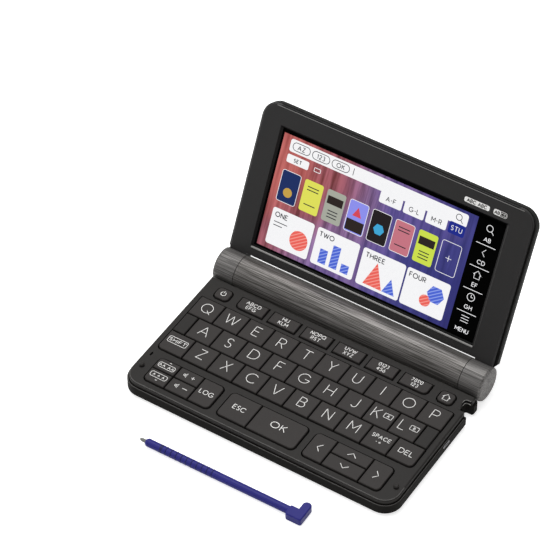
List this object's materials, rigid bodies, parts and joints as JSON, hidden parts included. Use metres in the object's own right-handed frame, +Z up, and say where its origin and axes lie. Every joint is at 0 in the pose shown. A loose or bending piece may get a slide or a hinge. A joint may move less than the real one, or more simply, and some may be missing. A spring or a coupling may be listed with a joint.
{
  "type": "electronic dictionary",
  "caption": "Clamshell electronic dictionary with a letter keyboard, a wide touch screen in a tilting lid, a battery barrel along the hinge and a loose stylus with an L-shaped head.",
  "frame": {"origin": "centre of the lower case's flat underside, midway between its front edge and the hinge axis; the feet reach 0.5 mm below it", "axes": "+X along the hinge barrel to the right as the user sees it, +Y away from the user, +Z up; the lid is stored opened by 116.1 degrees"},
  "size_m": [0.148, 0.1561, 0.087],
  "materials": {
    "case_plastic": "satin dark grey",
    "key_plastic": "satin dark grey, a little lighter than the case",
    "brushed_metal": "brushed, dark anodised",
    "hinge_steel": "turned",
    "cell_can": "printed can",
    "display_glass": "gloss glass over a display",
    "board": "solder mask",
    "silicone": "matt",
    "foot_rubber": "matt",
    "stylus_plastic": "gloss deep blue"
  },
  "bodies": {
    "base": {"lower_case": "case_plastic", "keyboard_deck": "case_plastic", "barrel_sleeve": "brushed_metal", "hinge_shafts": "hinge_steel", "battery_cells": "cell_can", "main_board": "board", "key_sheet": "silicone", "rubber_feet": "foot_rubber"},
    "lid": {"lid_bezel": "case_plastic", "lid_back_cover": "case_plastic", "display_module": "display_glass", "hinge_caps": "brushed_metal"},
    "battery_cover": {"battery_cover": "brushed_metal"},
    "stylus": {"stylus": "stylus_plastic"},
    "key_a": {"key_a": "key_plastic"},
    "key_b": {"key_b": "key_plastic"},
    "key_back": {"key_back": "key_plastic"},
    "key_c": {"key_c": "key_plastic"},
    "key_d": {"key_d": "key_plastic"},
    "key_delete": {"key_delete": "key_plastic"},
    "key_down": {"key_down": "key_plastic"},
    "key_e": {"key_e": "key_plastic"},
    "key_enter": {"key_enter": "key_plastic"},
    "key_f": {"key_f": "key_plastic"},
    "key_function_1": {"key_function_1": "key_plastic"},
    "key_function_2": {"key_function_2": "key_plastic"},
    "key_function_3": {"key_function_3": "key_plastic"},
    "key_function_4": {"key_function_4": "key_plastic"},
    "key_function_5": {"key_function_5": "key_plastic"},
    "key_function_6": {"key_function_6": "key_plastic"},
    "key_g": {"key_g": "key_plastic"},
    "key_h": {"key_h": "key_plastic"},
    "key_history": {"key_history": "key_plastic"},
    "key_home": {"key_home": "key_plastic"},
    "key_i": {"key_i": "key_plastic"},
    "key_j": {"key_j": "key_plastic"},
    "key_k": {"key_k": "key_plastic"},
    "key_l": {"key_l": "key_plastic"},
    "key_left": {"key_left": "key_plastic"},
    "key_m": {"key_m": "key_plastic"},
    "key_n": {"key_n": "key_plastic"},
    "key_o": {"key_o": "key_plastic"},
    "key_p": {"key_p": "key_plastic"},
    "key_power": {"key_power": "key_plastic"},
    "key_q": {"key_q": "key_plastic"},
    "key_r": {"key_r": "key_plastic"},
    "key_right": {"key_right": "key_plastic"},
    "key_s": {"key_s": "key_plastic"},
    "key_shift": {"key_shift": "key_plastic"},
    "key_space": {"key_space": "key_plastic"},
    "key_t": {"key_t": "key_plastic"},
    "key_text_size": {"key_text_size": "key_plastic"},
    "key_u": {"key_u": "key_plastic"},
    "key_up": {"key_up": "key_plastic"},
    "key_v": {"key_v": "key_plastic"},
    "key_volume": {"key_volume": "key_plastic"},
    "key_w": {"key_w": "key_plastic"},
    "key_x": {"key_x": "key_plastic"},
    "key_y": {"key_y": "key_plastic"},
    "key_z": {"key_z": "key_plastic"}
  },
  "joints": [
    {"name": "lid_hinge", "type": "hinge", "parent": "base", "child": "lid", "pos_m": [0, 0.0435, 0.009], "axis": [-1, 0, 0], "range_deg": [-116.1, 33.9]},
    {"name": "battery_cover_lift", "type": "slide", "parent": "base", "child": "battery_cover", "axis": [0, 0.2756, -0.9613], "range_m": [0, 0.015]},
    {"name": "stylus_lift", "type": "slide", "parent": "base", "child": "stylus", "axis": [0, 0, 1], "range_m": [0, 0.1]},
    {"name": "press_a", "type": "slide", "parent": "base", "child": "key_a", "axis": [0, 0, -1], "range_m": [0, 0.0008], "stiffness_N_per_m": 600},
    {"name": "press_b", "type": "slide", "parent": "base", "child": "key_b", "axis": [0, 0, -1], "range_m": [0, 0.0008], "stiffness_N_per_m": 600},
    {"name": "press_back", "type": "slide", "parent": "base", "child": "key_back", "axis": [0, 0, -1], "range_m": [0, 0.0008], "stiffness_N_per_m": 600},
    {"name": "press_c", "type": "slide", "parent": "base", "child": "key_c", "axis": [0, 0, -1], "range_m": [0, 0.0008], "stiffness_N_per_m": 600},
    {"name": "press_d", "type": "slide", "parent": "base", "child": "key_d", "axis": [0, 0, -1], "range_m": [0, 0.0008], "stiffness_N_per_m": 600},
    {"name": "press_delete", "type": "slide", "parent": "base", "child": "key_delete", "axis": [0, 0, -1], "range_m": [0, 0.0008], "stiffness_N_per_m": 600},
    {"name": "press_down", "type": "slide", "parent": "base", "child": "key_down", "axis": [0, 0, -1], "range_m": [0, 0.0008], "stiffness_N_per_m": 600},
    {"name": "press_e", "type": "slide", "parent": "base", "child": "key_e", "axis": [0, 0, -1], "range_m": [0, 0.0008], "stiffness_N_per_m": 600},
    {"name": "press_enter", "type": "slide", "parent": "base", "child": "key_enter", "axis": [0, 0, -1], "range_m": [0, 0.0008], "stiffness_N_per_m": 600},
    {"name": "press_f", "type": "slide", "parent": "base", "child": "key_f", "axis": [0, 0, -1], "range_m": [0, 0.0008], "stiffness_N_per_m": 600},
    {"name": "press_function_1", "type": "slide", "parent": "base", "child": "key_function_1", "axis": [0, 0, -1], "range_m": [0, 0.0008], "stiffness_N_per_m": 600},
    {"name": "press_function_2", "type": "slide", "parent": "base", "child": "key_function_2", "axis": [0, 0, -1], "range_m": [0, 0.0008], "stiffness_N_per_m": 600},
    {"name": "press_function_3", "type": "slide", "parent": "base", "child": "key_function_3", "axis": [0, 0, -1], "range_m": [0, 0.0008], "stiffness_N_per_m": 600},
    {"name": "press_function_4", "type": "slide", "parent": "base", "child": "key_function_4", "axis": [0, 0, -1], "range_m": [0, 0.0008], "stiffness_N_per_m": 600},
    {"name": "press_function_5", "type": "slide", "parent": "base", "child": "key_function_5", "axis": [0, 0, -1], "range_m": [0, 0.0008], "stiffness_N_per_m": 600},
    {"name": "press_function_6", "type": "slide", "parent": "base", "child": "key_function_6", "axis": [0, 0, -1], "range_m": [0, 0.0008], "stiffness_N_per_m": 600},
    {"name": "press_g", "type": "slide", "parent": "base", "child": "key_g", "axis": [0, 0, -1], "range_m": [0, 0.0008], "stiffness_N_per_m": 600},
    {"name": "press_h", "type": "slide", "parent": "base", "child": "key_h", "axis": [0, 0, -1], "range_m": [0, 0.0008], "stiffness_N_per_m": 600},
    {"name": "press_history", "type": "slide", "parent": "base", "child": "key_history", "axis": [0, 0, -1], "range_m": [0, 0.0008], "stiffness_N_per_m": 600},
    {"name": "press_home", "type": "slide", "parent": "base", "child": "key_home", "axis": [0, 0, -1], "range_m": [0, 0.0008], "stiffness_N_per_m": 600},
    {"name": "press_i", "type": "slide", "parent": "base", "child": "key_i", "axis": [0, 0, -1], "range_m": [0, 0.0008], "stiffness_N_per_m": 600},
    {"name": "press_j", "type": "slide", "parent": "base", "child": "key_j", "axis": [0, 0, -1], "range_m": [0, 0.0008], "stiffness_N_per_m": 600},
    {"name": "press_k", "type": "slide", "parent": "base", "child": "key_k", "axis": [0, 0, -1], "range_m": [0, 0.0008], "stiffness_N_per_m": 600},
    {"name": "press_l", "type": "slide", "parent": "base", "child": "key_l", "axis": [0, 0, -1], "range_m": [0, 0.0008], "stiffness_N_per_m": 600},
    {"name": "press_left", "type": "slide", "parent": "base", "child": "key_left", "axis": [0, 0, -1], "range_m": [0, 0.0008], "stiffness_N_per_m": 600},
    {"name": "press_m", "type": "slide", "parent": "base", "child": "key_m", "axis": [0, 0, -1], "range_m": [0, 0.0008], "stiffness_N_per_m": 600},
    {"name": "press_n", "type": "slide", "parent": "base", "child": "key_n", "axis": [0, 0, -1], "range_m": [0, 0.0008], "stiffness_N_per_m": 600},
    {"name": "press_o", "type": "slide", "parent": "base", "child": "key_o", "axis": [0, 0, -1], "range_m": [0, 0.0008], "stiffness_N_per_m": 600},
    {"name": "press_p", "type": "slide", "parent": "base", "child": "key_p", "axis": [0, 0, -1], "range_m": [0, 0.0008], "stiffness_N_per_m": 600},
    {"name": "press_power", "type": "slide", "parent": "base", "child": "key_power", "axis": [0, 0, -1], "range_m": [0, 0.0008], "stiffness_N_per_m": 600},
    {"name": "press_q", "type": "slide", "parent": "base", "child": "key_q", "axis": [0, 0, -1], "range_m": [0, 0.0008], "stiffness_N_per_m": 600},
    {"name": "press_r", "type": "slide", "parent": "base", "child": "key_r", "axis": [0, 0, -1], "range_m": [0, 0.0008], "stiffness_N_per_m": 600},
    {"name": "press_right", "type": "slide", "parent": "base", "child": "key_right", "axis": [0, 0, -1], "range_m": [0, 0.0008], "stiffness_N_per_m": 600},
    {"name": "press_s", "type": "slide", "parent": "base", "child": "key_s", "axis": [0, 0, -1], "range_m": [0, 0.0008], "stiffness_N_per_m": 600},
    {"name": "press_shift", "type": "slide", "parent": "base", "child": "key_shift", "axis": [0, 0, -1], "range_m": [0, 0.0008], "stiffness_N_per_m": 600},
    {"name": "press_space", "type": "slide", "parent": "base", "child": "key_space", "axis": [0, 0, -1], "range_m": [0, 0.0008], "stiffness_N_per_m": 600},
    {"name": "press_t", "type": "slide", "parent": "base", "child": "key_t", "axis": [0, 0, -1], "range_m": [0, 0.0008], "stiffness_N_per_m": 600},
    {"name": "press_text_size", "type": "slide", "parent": "base", "child": "key_text_size", "axis": [0, 0, -1], "range_m": [0, 0.0008], "stiffness_N_per_m": 600},
    {"name": "press_u", "type": "slide", "parent": "base", "child": "key_u", "axis": [0, 0, -1], "range_m": [0, 0.0008], "stiffness_N_per_m": 600},
    {"name": "press_up", "type": "slide", "parent": "base", "child": "key_up", "axis": [0, 0, -1], "range_m": [0, 0.0008], "stiffness_N_per_m": 600},
    {"name": "press_v", "type": "slide", "parent": "base", "child": "key_v", "axis": [0, 0, -1], "range_m": [0, 0.0008], "stiffness_N_per_m": 600},
    {"name": "press_volume", "type": "slide", "parent": "base", "child": "key_volume", "axis": [0, 0, -1], "range_m": [0, 0.0008], "stiffness_N_per_m": 600},
    {"name": "press_w", "type": "slide", "parent": "base", "child": "key_w", "axis": [0, 0, -1], "range_m": [0, 0.0008], "stiffness_N_per_m": 600},
    {"name": "press_x", "type": "slide", "parent": "base", "child": "key_x", "axis": [0, 0, -1], "range_m": [0, 0.0008], "stiffness_N_per_m": 600},
    {"name": "press_y", "type": "slide", "parent": "base", "child": "key_y", "axis": [0, 0, -1], "range_m": [0, 0.0008], "stiffness_N_per_m": 600},
    {"name": "press_z", "type": "slide", "parent": "base", "child": "key_z", "axis": [0, 0, -1], "range_m": [0, 0.0008], "stiffness_N_per_m": 600}
  ]
}
